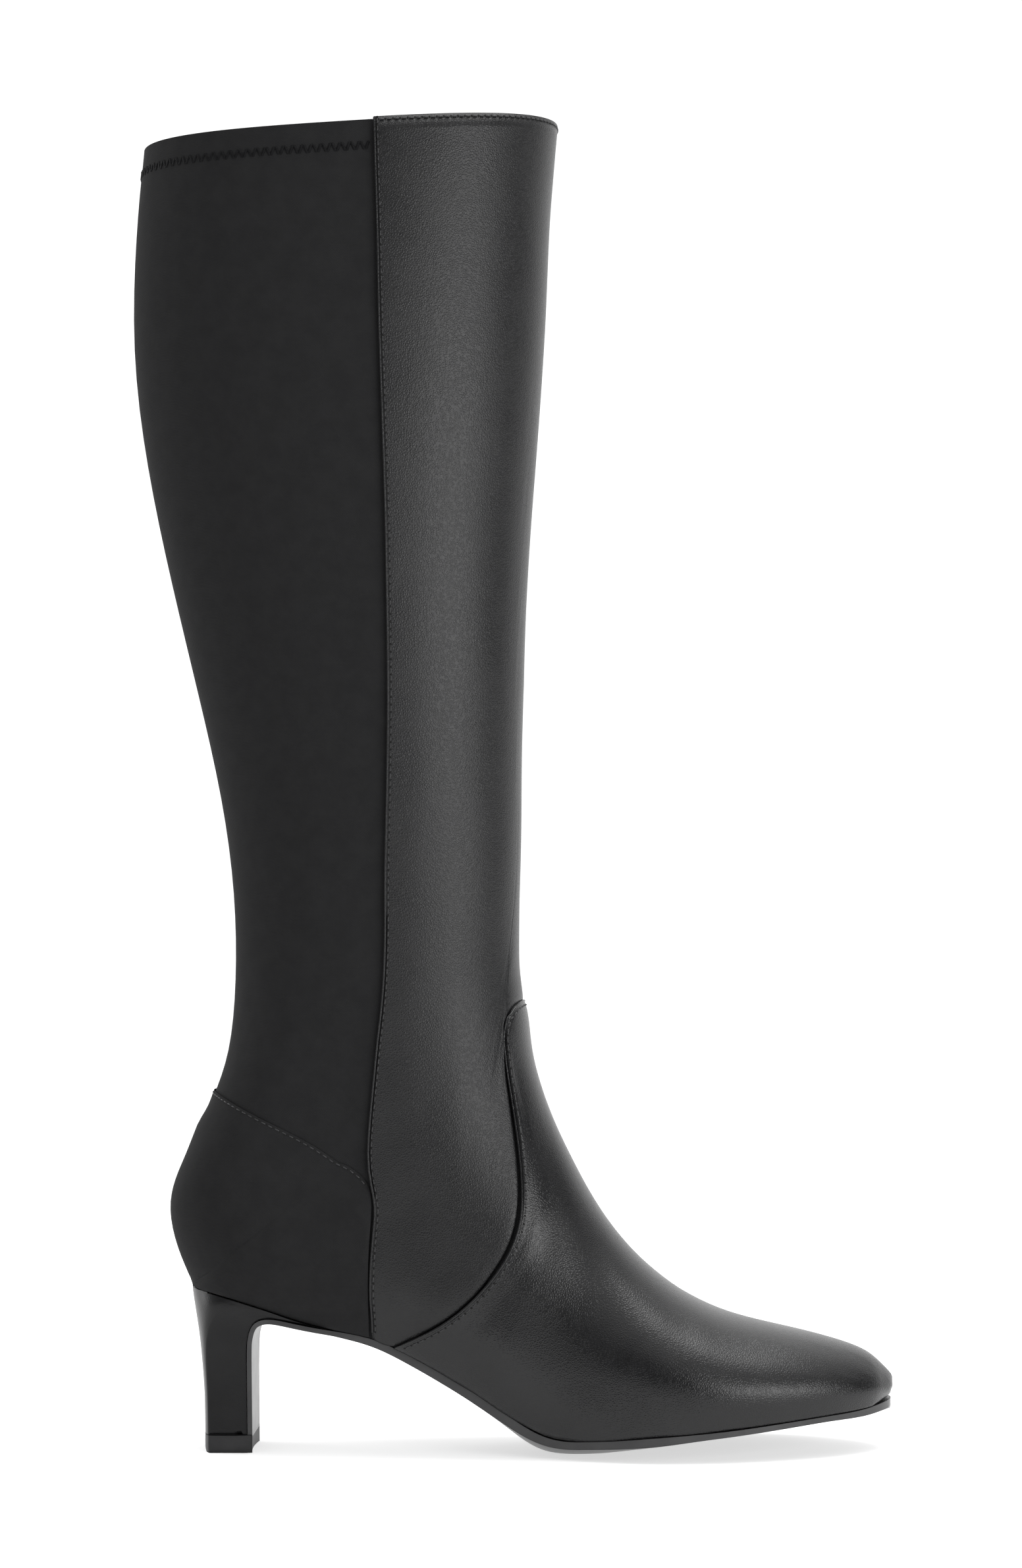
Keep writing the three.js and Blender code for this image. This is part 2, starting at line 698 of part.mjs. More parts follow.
// Counter: round the back of the heel from side seam to side seam, up to its own top seam. Its rows
// are sections, each from the seam to the feather line or to the middle of the back.
function counterBody() {
  const seam = skinCurve(sideSeam);
  const high = skinCurve(counterSeam);
  const corner = sideSeam.findIndex((row) => row.section === counterSeam[0].section);
  const seamTop = corner / (sideSeam.length - 1);
  const start = sideSeam[0].section + 5 * counterSideGap;
  const top = counterSeam[counterSeam.length - 1].section;
  const backRows = [1.5, 2, 2.5, 3].map((n) => legRow + n);
  const rows = [start, ...heelRows, ...backRows, top];
  const last = rows.length - 1;
  const edge = (s) => {
    if (s <= sideSeam[corner].section) return meeting(seam, s, 0, seamTop) + counterSideGap;
    return meeting(high, s, 0, 1);
  };
  const edges = rows.map((s, i) => (i === 0 || i === last ? 1 : edge(s)));
  const step = 1 / vampEdgeSteps;
  const sides = Math.ceil((1 - Math.min(...edges)) / step);
  const ends = edges.map((a) => Math.ceil((1 - a) / step));
  const middle = 2 * sides + 1;
  const fromBack = (j) => (j <= sides ? sides - j : j - sides - 1);
  const off = overlay(last, middle, (i, j) => {
    const a = Math.max(edges[i], 1 - fromBack(j) * step);
    return [rows[i], j <= sides ? a : -a];
  });
  return closedBody({
    rows: last,
    columns: middle,
    outer: (i, j) => off(i, j, counterEase + counterWall),
    inner: (i, j) => off(i, j, counterEase),
    key: (i, j) => {
      const k = Math.min(fromBack(j), ends[i]);
      const joined = rows[i] >= legRow && k === 0;
      return `${i},${joined || j <= sides ? k : -k - 1}`;
    },
    open: (i, j) => j === sides && rows[i] < legRow,
  });
}

const liftTop = liftHeight + seatGap;
const seatRise = heelHeight - seatGap - liftTop;

// Underside of the tongue and face of the breast, as a curve in the side view with its normal
const breastX = numbered(breastLine.map((row) => heelTipBack + row.ahead * heelTipLength));
const breastZ = numbered(breastLine.map((row) => liftTop + row.up * seatRise));
const breastLast = breastLine.length - 1;

function breastPoint(u, out) {
  const ahead = Math.min(u + 0.01, breastLast);
  const behind = Math.max(u - 0.01, 0);
  const dx = breastX(ahead) - breastX(behind);
  const dz = breastZ(ahead) - breastZ(behind);
  const size = Math.hypot(dx, dz);
  return [breastX(u) - (dz / size) * out, breastZ(u) + (dx / size) * out];
}

// Share of the heel's height at a point in the side view: 0 over the lift, 1 under the upper
function heelShare(x, z) {
  return (z - liftTop) / (featherHeight(x) - seatGap - liftTop);
}

const heelLean = placed(heelLevels.map((row) => row.up), heelLevels.map((row) => row.lean));
const heelSpread = placed(heelLevels.map((row) => row.up), heelLevels.map((row) => row.spread));
const heelArch = placed(heelLevels.map((row) => row.up), heelLevels.map((row) => row.arch));

function heelHalf(share) {
  return mix(heelTipWidth / 2, planHalfAt(0) * ballWidth, heelSpread(share));
}

// Outline of the heel at a level, from the middle of its back round the outer side
function heelRing(back, front, half, arch, breast, height) {
  const ring = [];
  const arcSteps = 7;
  const sideSteps = 5;
  const faceSteps = 2;
  for (let k = 0; k <= arcSteps; k += 1) {
    const turn = (k / arcSteps) * (Math.PI / 2);
    ring.push([back + arch * (1 - Math.cos(turn)), Math.sin(turn)]);
  }
  for (let k = 1; k <= sideSteps; k += 1) ring.push([mix(back + arch, front, k / sideSteps), 1]);
  for (let k = faceSteps - 1; k >= 0; k -= 1) {
    const across = k / faceSteps;
    ring.push([front - breast * (1 - across * across), across]);
  }
  const outer = ring.map(([x, across]) => new THREE.Vector3(x, -across * half(x), height(x)));
  const inner = outer.slice(1, -1).reverse().map((p) => new THREE.Vector3(p.x, -p.y, p.z));
  return [...outer, ...inner];
}

// Closed body through rings of points that mirror left to right, each end closed by strips
function ringBody(rings) {
  const count = rings[0].length;
  const points = rings.flat();
  const faces = [];
  for (let i = 0; i + 1 < rings.length; i += 1) {
    for (let j = 0; j < count; j += 1) {
      const a = i * count + j;
      const b = i * count + ((j + 1) % count);
      faces.push([a, b, b + count], [a, b + count, a + count]);
    }
  }
  const top = (rings.length - 1) * count;
  for (let j = 0; j < count / 2; j += 1) {
    const pair = [j, j + 1, (count - j - 1) % count, (count - j) % count];
    const strip = [[pair[0], pair[1], pair[2]], [pair[0], pair[2], pair[3]]];
    for (const [a, b, c] of strip) {
      if (a === b || b === c || a === c) continue;
      faces.push([top + a, top + b, top + c], [a, c, b]);
    }
  }
  const geometry = new THREE.BufferGeometry();
  const flat = points.flatMap((p) => [p.x, p.y, p.z]);
  geometry.setAttribute("position", new THREE.Float32BufferAttribute(flat, 3));
  geometry.setIndex(faces.flat());
  geometry.computeVertexNormals();
  return geometry;
}

// Heel block with its tongue under the waist
function heelBody() {
  const levels = [0, 0.16, 0.32, 0.5, 0.64, 0.75, 0.84, 0.9, 0.945, 0.975, 1];
  const rings = levels.map((share) => {
    let near = 0;
    let far = breastLast;
    for (let k = 0; k < 40; k += 1) {
      const middle = (near + far) / 2;
      if (heelShare(breastX(middle), breastZ(middle)) > share) near = middle;
      else far = middle;
    }
    const front = breastX(share === 1 ? 0 : (near + far) / 2);
    const back = mix(heelTipBack, lastBack, heelLean(share));
    const arch = mix(heelTipArch, heelRounding * ballWidth, heelArch(share));
    const half = (x) =>
      Math.min(heelHalf(share), planHalfAt((x - lastBack) / lastLength) * ballWidth);
    const height = (x) => liftTop + share * (featherHeight(x) - seatGap - liftTop);
    return heelRing(back, front, half, arch, breastArch * (1 - share), height);
  });
  return ringBody(rings);
}

function liftBody() {
  const front = breastX(breastLast) + seatGap + flapWall;
  const half = () => heelTipWidth / 2;
  const ring = (z, back) => heelRing(back, front, half, heelTipArch, breastArch, () => z);
  const levels = [[0, heelTipBack + liftRound], [1, heelTipBack], [liftHeight, heelTipBack]];
  return ringBody(levels.map(([z, back]) => ring(z, back)));
}

// Outsole: from the toe through ball and waist, round the corner and down the breast of the heel
function outsoleBody() {
  const edgeAt = column(soleSections, "along", "edge", footLength);
  const crownAt = column(soleSections, "along", "crown", footLength);
  const reachAt = column(soleSections, "along", "reach", footLength);
  const tip = lastTip + weltReach;
  const toeSteps = [0, 0.4, 1.5, 3.5, 6.5, 11, 17, 24];
  const toeX = toeSteps.map((step) => tip - step);
  const bodySteps = 24;
  const clearOfTongue = 4;
  const bodyStart = breastX(0) + clearOfTongue;
  const bodyX = Array.from({ length: bodySteps }, (_, k) =>
    mix(toeX[toeX.length - 1], bodyStart, (k + 1) / bodySteps));
  const rows = [...toeX, ...bodyX].map((x) => {
    const top = featherHeight(x) - soleGap;
    const edge = edgeAt(x) * soleEdge;
    return {
      top: [x, top],
      edge: [x, top - edge],
      crown: [0, -crownAt(x) * soleCrown],
      half: planHalf(x, reachAt(x) * weltReach),
    };
  });
  const flapSteps = [0, 1, 2, 2.7, 3.3, 3.8, 4.3, 4.8, 5.4, 6.2, 7, 8, breastLast];
  const flatFrom = 5;
  for (const u of flapSteps) {
    const top = breastPoint(u, seatGap);
    const bottom = breastPoint(u, seatGap + flapWall);
    const share = THREE.MathUtils.clamp(heelShare(breastX(u), breastZ(u)), 0, 1);
    const fade = 1 - smooth(u / flatFrom);
    const crown = crownAt(bodyStart) * soleCrown * fade;
    const out = [(bottom[0] - top[0]) / flapWall, (bottom[1] - top[1]) / flapWall];
    const half = Math.min(heelHalf(share), planHalf(top[0], reachAt(bodyStart) * weltReach));
    rows.push({ top, edge: bottom, crown: [out[0] * crown, out[1] * crown], half });
  }
  const columns = 8;
  const level = (row, across, from, bulge) => {
    const x = from[0] + row.crown[0] * bulge;
    const z = Math.max(from[1] + row.crown[1] * bulge, 0);
    return new THREE.Vector3(x, planMiddle(row.top[0]) + across * row.half, z);
  };
  const acrossAt = (j) => Math.sin(((j / columns) * 2 - 1) * (Math.PI / 2));
  return closedBody({
    rows: rows.length - 1,
    columns,
    outer: (i, j) => level(rows[i], acrossAt(j), rows[i].top, 0),
    inner: (i, j) => level(rows[i], acrossAt(j), rows[i].edge, 1 - acrossAt(j) ** 2),
    key: (i, j) => (i === 0 ? "tip" : `${i},${j}`),
  });
}

// Insole: board and sock on the sole and the heel seat, inside the upper
function insoleBody() {
  const grow = -(liningWall + insoleGap);
  const tip = lastTip + grow;
  const back = lastBack - grow;
  const steps = 34;
  const place = (i) => mix(tip, back, (1 - Math.cos((Math.PI * i) / steps)) / 2);
  const point = (i, j, rise) => {
    const x = place(i);
    const y = planMiddle(x) + (j === 0 ? -1 : 1) * planHalf(x, grow);
    return new THREE.Vector3(x, y, featherHeight(x) + rise);
  };
  return closedBody({
    rows: steps,
    columns: 1,
    outer: (i, j) => point(i, j, insoleWall),
    inner: (i, j) => point(i, j, 0),
    key: (i, j) => (i === 0 || i === steps ? `${i}` : `${i},${j}`),
  });
}

const colours = {
  leather: new THREE.MeshStandardMaterial({ color: 0x222224, roughness: 0.45, metalness: 0 }),
  fabric: new THREE.MeshStandardMaterial({ color: 0x2a2a2c, roughness: 0.9, metalness: 0 }),
  rubber: new THREE.MeshStandardMaterial({ color: 0x1c1c1d, roughness: 0.6, metalness: 0 }),
  board: new THREE.MeshStandardMaterial({ color: 0x6b6259, roughness: 0.8, metalness: 0 }),
};

const boot = new THREE.Group();
boot.position.x = -(heelTipBack + heelTipLength / 2);

function add(name, geometry, material) {
  const mesh = new THREE.Mesh(geometry, material);
  mesh.name = name;
  boot.add(mesh);
}

add("outsole", outsoleBody(), colours.rubber);
add("insole", insoleBody(), colours.board);
add("heel", heelBody(), colours.leather);
add("top_lift", liftBody(), colours.rubber);
add("upper", upperBody(), colours.fabric);
add("counter", counterBody(), colours.fabric);
add("vamp", vampBody(), colours.leather);
add("front_panel", frontPanelBody(), colours.leather);

export default boot;
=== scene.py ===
"""Looks of the knee-high boot: leather, stretch fabric, seams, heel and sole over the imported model."""

import math

import bmesh
import bpy
import numpy as np
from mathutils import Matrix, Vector
from mathutils.bvhtree import BVHTree


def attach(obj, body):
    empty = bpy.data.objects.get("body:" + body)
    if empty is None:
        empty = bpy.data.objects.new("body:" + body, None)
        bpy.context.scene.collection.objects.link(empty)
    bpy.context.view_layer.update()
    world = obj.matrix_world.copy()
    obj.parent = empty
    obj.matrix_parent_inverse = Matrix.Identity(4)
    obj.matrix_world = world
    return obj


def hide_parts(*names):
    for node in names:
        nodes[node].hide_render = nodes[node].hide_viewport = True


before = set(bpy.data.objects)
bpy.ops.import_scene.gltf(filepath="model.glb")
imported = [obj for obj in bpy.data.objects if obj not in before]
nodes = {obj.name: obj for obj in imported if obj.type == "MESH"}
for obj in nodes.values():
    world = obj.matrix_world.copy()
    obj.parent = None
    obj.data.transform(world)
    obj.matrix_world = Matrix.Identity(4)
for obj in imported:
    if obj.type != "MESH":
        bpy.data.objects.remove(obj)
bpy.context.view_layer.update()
bpy.ops.object.select_all(action="DESELECT")

MM = 0.001

# Stitching: length, width and height of a stitch, and the step from one to the next
SEAM_STITCH = (2.1 * MM, 0.5 * MM, 0.5 * MM)
COUNTER_STITCH = (1.9 * MM, 0.4 * MM, 0.3 * MM)
HEM_STITCH = (4.0 * MM, 1.0 * MM, 0.6 * MM)
HEM_SLANTS = (66, 114)
NEEDLE_HOLE = (0.85 * MM, 0.75 * MM, 0.2 * MM)
SEAM_PITCH = 2.6 * MM
VAMP_PITCH = 2.9 * MM
COUNTER_PITCH = 2.7 * MM
HEM_PITCH = 3.3 * MM
THREAD_LIFT = 0.05 * MM

# How far each row runs from its edge
SEAM_INSET = 1.3 * MM
VAMP_INSET = 1.7 * MM
COUNTER_INSET = 0.9 * MM
TOP_INSET = 1.1 * MM
HEM_DEPTH = 9.0 * MM
SIDE_FOLD_INSET = 0.25 * MM
VAMP_FOLD_INSET = 0.35 * MM

# Thickness of the folded leather edges
SIDE_FOLD_RADIUS = 0.45 * MM
VAMP_FOLD_RADIUS = 0.5 * MM

# Where cloth and leather are drawn in, leaned, lifted or thinned
HEEL_TUCK = 1.9 * MM
TUCK_HEIGHTS = (56 * MM, 78 * MM)
TUCK_DEPTHS = (-4 * MM, 20 * MM)
TAB_LEAN = 1.3 * MM
TAB_RISE = 1.2 * MM
TAB_HEIGHTS = (148 * MM, 157 * MM)
TOP_STEP = 0.9 * MM
TOP_HEIGHTS = (448 * MM, 464 * MM)
SKIVE_REACH = 9.0 * MM
SKIVE_LEFT = 0.35
HALF_WALL = 0.9 * MM

# Heights to look for an edge between
TAB_EDGE = (149 * MM, 170 * MM)
COUNTER_BACK_EDGE = (110 * MM, 140 * MM)
COLLAR_FRONT_EDGE = (455 * MM, 485 * MM)
COLLAR_BACK_EDGE = (440 * MM, 485 * MM)

# Working limits
WELD = 0.2 * MM
OPEN_ROOM = 8 * MM
BESIDE = 100 * MM
AROUND = 150 * MM
SHRINK_BACK = 0.85


def smoothstep(low, high, value):
    t = np.clip((value - low) / (high - low), 0, 1)
    return t * t * (3 - 2 * t)


# Materials


def shader(name, **sockets):
    """A new material with its Principled node's sockets set, and its node tree."""
    material = bpy.data.materials.new(name)
    material.use_nodes = True
    principled = material.node_tree.nodes["Principled BSDF"]
    for socket, value in sockets.items():
        principled.inputs[socket.replace("_", " ")].default_value = value
    return material, material.node_tree, principled


def add_node(tree, kind, **settings):
    """A node with its properties or inputs set by name."""
    made = tree.nodes.new(kind)
    for name, value in settings.items():
        if name in made.bl_rna.properties:
            setattr(made, name, value)
        else:
            made.inputs[name.replace("_", " ")].default_value = value
    return made


def object_place(tree):
    return add_node(tree, "ShaderNodeTexCoord").outputs["Object"]


def two_tone(tree, principled, place, dark, light, scale):
    """Base colour that drifts between two tones; returns the node that drives it."""
    drift = add_node(tree, "ShaderNodeTexNoise", Scale=scale, Detail=4.0, Roughness=0.6)
    ramp = add_node(tree, "ShaderNodeValToRGB")
    ramp.color_ramp.elements[0].position = 0.35
    ramp.color_ramp.elements[0].color = (*dark, 1)
    ramp.color_ramp.elements[1].position = 0.65
    ramp.color_ramp.elements[1].color = (*light, 1)
    tree.links.new(place, drift.inputs["Vector"])
    tree.links.new(drift.outputs["Fac"], ramp.inputs["Fac"])
    tree.links.new(ramp.outputs["Color"], principled.inputs["Base Color"])
    return drift


def spread_roughness(tree, principled, source, low, high):
    """Roughness between two values, following a texture."""
    spread = add_node(tree, "ShaderNodeMapRange", To_Min=low, To_Max=high)
    tree.links.new(source, spread.inputs["Value"])
    tree.links.new(spread.outputs["Result"], principled.inputs["Roughness"])


def bump_chain(tree, principled, heights):
    """Bumps laid over one another; heights is a list of (socket, strength, distance)."""
    normal = None
    for height, strength, distance in heights:
        bump = add_node(tree, "ShaderNodeBump", Strength=strength, Distance=distance)
        tree.links.new(height, bump.inputs["Height"])
        if normal is not None:
            tree.links.new(normal, bump.inputs["Normal"])
        normal = bump.outputs["Normal"]
    tree.links.new(normal, principled.inputs["Normal"])


def leather(name, dark, light, roughness, grain, specular):
    """Dyed leather with a fine pebble grain and faint pores."""
    material, tree, principled = shader(name, Specular_IOR_Level=specular)
    place = object_place(tree)
    drift = two_tone(tree, principled, place, dark, light, 60.0)
    pebble = add_node(tree, "ShaderNodeTexVoronoi", feature="DISTANCE_TO_EDGE", Scale=1250.0)
    broad = add_node(tree, "ShaderNodeTexNoise", Scale=520.0, Detail=3.0)
    pores = add_node(tree, "ShaderNodeTexNoise", Scale=2600.0, Detail=2.0)
    for texture in (pebble, broad, pores):
        tree.links.new(place, texture.inputs["Vector"])
    rounded = add_node(tree, "ShaderNodeMapRange", interpolation_type="SMOOTHSTEP", From_Max=0.35)
    tree.links.new(pebble.outputs["Distance"], rounded.inputs["Value"])
    spread_roughness(tree, principled, drift.outputs["Fac"], roughness - 0.04, roughness + 0.05)
    bump_chain(tree, principled, [
        (broad.outputs["Fac"], grain * 0.3, 0.1 * MM),
        (rounded.outputs["Result"], grain, 0.05 * MM),
        (pores.outputs["Fac"], grain * 0.5, 0.03 * MM),
    ])
    return material


def knit(name, dark, light, roughness, pitch, sheen):
    """Fine stretch fabric: two crossing sets of threads."""
    material, tree, principled = shader(
        name, Roughness=roughness, Specular_IOR_Level=0.06, Sheen_Weight=sheen, Sheen_Roughness=0.6
    )
    place = object_place(tree)
    two_tone(tree, principled, place, dark, light, 160.0)
    # A band wave repeats every 2 pi / 20 at scale 1
    thread_scale = 2 * math.pi / 20 / pitch
    heights = []
    for direction in ("Z", "DIAGONAL"):
        threads = add_node(
            tree, "ShaderNodeTexWave", wave_type="BANDS", bands_direction=direction,
            Scale=thread_scale, Distortion=0.4, Detail=1.0,
        )
        tree.links.new(place, threads.inputs["Vector"])
        heights.append((threads.outputs["Fac"], 0.35, 0.06 * MM))
    bump_chain(tree, principled, heights)
    return material


def rubber(name, dark, light, roughness):
    """Moulded rubber with a faint haze."""
    material, tree, principled = shader(name, Specular_IOR_Level=0.4)
    place = object_place(tree)
    drift = two_tone(tree, principled, place, dark, light, 110.0)
    spread_roughness(tree, principled, drift.outputs["Fac"], roughness - 0.05, roughness + 0.08)
    fine = add_node(tree, "ShaderNodeTexNoise", Scale=1500.0, Detail=3.0)
    tree.links.new(place, fine.inputs["Vector"])
    bump_chain(tree, principled, [(fine.outputs["Fac"], 0.15, 0.05 * MM)])
    return material


def thread(name, tone, roughness, specular):
    """Twisted sewing thread."""
    material, tree, principled = shader(name, Roughness=roughness, Specular_IOR_Level=specular)
    place = object_place(tree)
    two_tone(tree, principled, place, [c * 0.7 for c in tone], [c * 1.3 for c in tone], 900.0)
    twist = add_node(
        tree, "ShaderNodeTexWave", wave_type="BANDS", bands_direction="DIAGONAL", Scale=1200.0
    )
    tree.links.new(place, twist.inputs["Vector"])
    bump_chain(tree, principled, [(twist.outputs["Fac"], 0.4, 0.05 * MM)])
    return material


shaft_leather = leather(
    "shaft_leather", (0.006, 0.006, 0.0065), (0.009, 0.009, 0.0095),
    roughness=0.36, grain=0.9, specular=0.32,
)
vamp_leather = leather(
    "vamp_leather", (0.005, 0.005, 0.0055), (0.008, 0.008, 0.0085),
    roughness=0.28, grain=0.75, specular=0.36,
)
heel_leather = leather(
    "heel_leather", (0.005, 0.005, 0.0055), (0.008, 0.008, 0.0085),
    roughness=0.33, grain=0.3, specular=0.2,
)
sock = leather(
    "insole_sock", (0.10, 0.085, 0.07), (0.13, 0.11, 0.092),
    roughness=0.6, grain=0.2, specular=0.5,
)
stretch = knit(
    "stretch_knit", (0.0135, 0.0135, 0.014), (0.0157, 0.0157, 0.0162),
    roughness=0.9, pitch=0.45 * MM, sheen=0.015,
)
lining = knit(
    "lining_cloth", (0.05, 0.047, 0.044), (0.065, 0.061, 0.057),
    roughness=0.85, pitch=0.6 * MM, sheen=0.05,
)
sole_rubber = rubber("sole_rubber", (0.024, 0.024, 0.025), (0.034, 0.034, 0.035), roughness=0.3)
lift_rubber = rubber("lift_rubber", (0.011, 0.011, 0.012), (0.018, 0.018, 0.019), roughness=0.5)
black_thread = thread("black_thread", (0.02, 0.02, 0.021), roughness=0.5, specular=0.4)
hem_thread = thread("hem_thread", (0.0045, 0.0045, 0.005), roughness=0.7, specular=0.1)
# Near-black colour for the needle-hole dimples: painted shade standing in for the dark inside the holes
painted_hole_shade = rubber("painted_hole_shade", (0.002, 0.002, 0.002), (0.003, 0.003, 0.003), roughness=0.9)


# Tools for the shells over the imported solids


def edit(piece, select="VERT"):
    """Makes a piece the only one in edit mode, with nothing selected."""
    bpy.ops.object.select_all(action="DESELECT")
    piece.select_set(True)
    bpy.context.view_layer.objects.active = piece
    bpy.ops.object.mode_set(mode="EDIT")
    bpy.ops.mesh.select_mode(type=select)
    bpy.ops.mesh.select_all(action="DESELECT")


def leave_edit():
    bpy.ops.object.mode_set(mode="OBJECT")


def merged_copy(node, name):
    """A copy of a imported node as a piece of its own, welded and turned back into quads."""
    mesh = nodes[node].data.copy()
    mesh.materials.clear()
    piece = bpy.data.objects.new(name, mesh)
    bpy.context.scene.collection.objects.link(piece)
    edit(piece)
    bpy.ops.mesh.select_all(action="SELECT")
    bpy.ops.mesh.remove_doubles(threshold=WELD)
    bpy.ops.mesh.customdata_custom_splitnormals_clear()
    bpy.ops.mesh.faces_shade_smooth()
    bpy.ops.mesh.tris_convert_to_quads(
        face_threshold=math.radians(50), shape_threshold=math.radians(70)
    )
    leave_edit()
    return piece


def pick_points(piece, wanted):
    """Opens a piece for editing with the points selected that a test picks."""
    edit(piece)
    mesh = bmesh.from_edit_mesh(piece.data)
    for point in mesh.verts:
        point.select = wanted(point.co)
    mesh.select_flush_mode()
    bmesh.update_edit_mesh(piece.data)


def relax(piece, wanted, rounds):
    """Evens out the points of a piece that a test picks."""
    pick_points(piece, wanted)
    bpy.ops.mesh.vertices_smooth(factor=0.5, repeat=rounds)
    leave_edit()


def slide(piece, under, wanted, rounds):
    """Evens points out along the surface under them, each keeping its height over it."""
    before = positions(piece.data)
    heights = [under.find_nearest(Vector(place))[3] for place in before]
    relax(piece, wanted, rounds)
    places = positions(piece.data)
    for k, place in enumerate(before):
        if wanted(Vector(place)):
            on, normal, _, _ = under.find_nearest(Vector(places[k]))
            places[k] = on + normal * heights[k]
    move_to(piece.data, places)


def unfold(piece, under, wanted, rounds):
    """Slides the corners of faces that are folded over until the faces lie flat."""
    for _ in range(rounds):
        corners = set()
        for face in piece.data.polygons:
            if not wanted(face.center):
                continue
            _, normal, _, height = under.find_nearest(face.center)
            outward = face.normal.dot(normal)
            if (outward < -0.3) if height > HALF_WALL else (outward > 0.3):
                corners.update(tuple(piece.data.vertices[k].co) for k in face.vertices)
        if not corners:
            return
        slide(piece, under, lambda place: tuple(place) in corners, 1)


def soften_edges(piece, width, angle=50, segments=2):
    """Rounds the sharp edges of a piece."""
    edit(piece, "EDGE")
    bpy.ops.mesh.edges_select_sharp(sharpness=math.radians(angle))
    bpy.ops.mesh.bevel(offset=width, segments=segments, affect="EDGES", clamp_overlap=True)
    leave_edit()


def positions(mesh):
    flat = np.empty(len(mesh.vertices) * 3)
    mesh.vertices.foreach_get("co", flat)
    return flat.reshape(-1, 3)


def move_to(mesh, places):
    mesh.vertices.foreach_set("co", np.ascontiguousarray(places).ravel())
    mesh.update()
    mesh.update_tag()


def subdivide(piece, levels):
    """Smooths a piece into a fine surface that still passes close to its first points."""
    modifier = piece.modifiers.new("smooth", "SUBSURF")
    modifier.levels = modifier.render_levels = levels
    start = positions(piece.data)
    evaluated = piece.evaluated_get(bpy.context.evaluated_depsgraph_get())
    pulled = positions(evaluated.data)[: len(start)]
    move_to(piece.data, start + SHRINK_BACK * (start - pulled))
    bpy.context.view_layer.objects.active = piece
    bpy.ops.object.modifier_apply(modifier=modifier.name)
    piece.data.shade_smooth()


def crease_edges(piece, angle, wanted=None):
    """Keeps the rims of a piece sharp when it is smoothed, where a test of the place allows it."""
    edit(piece, "EDGE")
    bpy.ops.mesh.edges_select_sharp(sharpness=math.radians(angle))
    mesh = bmesh.from_edit_mesh(piece.data)
    for border in mesh.edges:
        middle = (border.verts[0].co + border.verts[1].co) / 2
        if border.select and wanted is not None and not wanted(middle):
            border.select_set(False)
    bmesh.update_edit_mesh(piece.data)
    bpy.ops.transform.edge_crease(value=1)
    leave_edit()


def shape(piece, shift):
    """Moves the points of a piece by a function of their places and normals."""
    mesh = piece.data
    places = positions(mesh)
    normals = np.array([point.normal for point in mesh.vertices])
    move_to(mesh, places + shift(places, normals))


def tuck_heel(places, normals):
    """Draws the fabric over the heel in, so it ends flush with the heel's top."""
    moved = np.zeros_like(places)
    low = 1 - smoothstep(*TUCK_HEIGHTS, places[:, 2])
    back = 1 - smoothstep(*TUCK_DEPTHS, places[:, 0])
    moved[:, 0] = HEEL_TUCK * low * back
    return moved


def lean_tab(places, normals):
    """Lays the top of the vamp's tab against the shin."""
    moved = np.zeros_like(places)
    top = smoothstep(*TAB_HEIGHTS, places[:, 2])
    moved[:, 0] = -TAB_LEAN * top
    moved[:, 2] = TAB_RISE * top
    return moved


def step_top(places, normals):
    """Lifts the leather's top edge one step above the stretch fabric's."""
    moved = np.zeros_like(places)
    moved[:, 2] = TOP_STEP * smoothstep(*TOP_HEIGHTS, places[:, 2])
    return moved


def skive(under, line):
    """Thins a piece towards its top edge, given as (x, z), so it lies flat on the piece under it."""
    by_x = np.array(sorted(line))

    def shift(places, normals):
        edge = np.interp(places[:, 0], by_x[:, 0], by_x[:, 1])
        share = 1 - smoothstep(0.0, SKIVE_REACH, edge - places[:, 2])
        below = np.array([under.find_nearest(Vector(place))[0] for place in places])
        return (below - places) * ((1 - SKIVE_LEFT) * share)[:, None]

    return shift


def soft_line(line, width, height):
    """A ridge, or a trough where the height is below zero, along (x, z) seen from the side."""
    path = smooth_path(np.array([[x, 0, z] for x, z in line]), 6)[:, (0, 2)]
    along = np.linspace(0, 1, len(path))

    def shift(places, normals):
        reach = np.linalg.norm(places[:, None, (0, 2)] - path[None], axis=2)
        near = reach.argmin(axis=1)
        fade = np.sin(np.pi * np.clip(along[near], 0.02, 0.98)) ** 0.5
        rise = height * np.exp(-((reach.min(axis=1) / width) ** 2)) * fade
        return normals * rise[:, None]

    return shift


def surface_of(piece):
    """A piece's surface as it is now, to cast rays on."""
    bpy.context.view_layer.update()
    return BVHTree.FromObject(piece, bpy.context.evaluated_depsgraph_get())


def finish_piece(piece, material, replaced=()):
    """Gives a finished piece its material and its body, and hides the nodes it stands for."""
    piece.data.materials.clear()
    piece.data.materials.append(material)
    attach(piece, "root")
    if replaced:
        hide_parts(*replaced)


def ray_point(surface, start, aim, reach):
    """Where a ray meets a surface, or nothing."""
    hit, _, _, _ = surface.ray_cast(Vector(start), Vector(aim), reach)
    return None if hit is None else np.array(hit)


def edge_between(surface, on_piece, off_piece, aim, reach):
    """The last point of a piece on the way from a start over it to one beside it."""
    found = ray_point(surface, on_piece, aim, reach)
    for _ in range(12):
        middle = (on_piece + off_piece) / 2
        hit = ray_point(surface, middle, aim, reach)
        if hit is None:
            off_piece = middle
        else:
            on_piece = middle
            found = hit
    return found


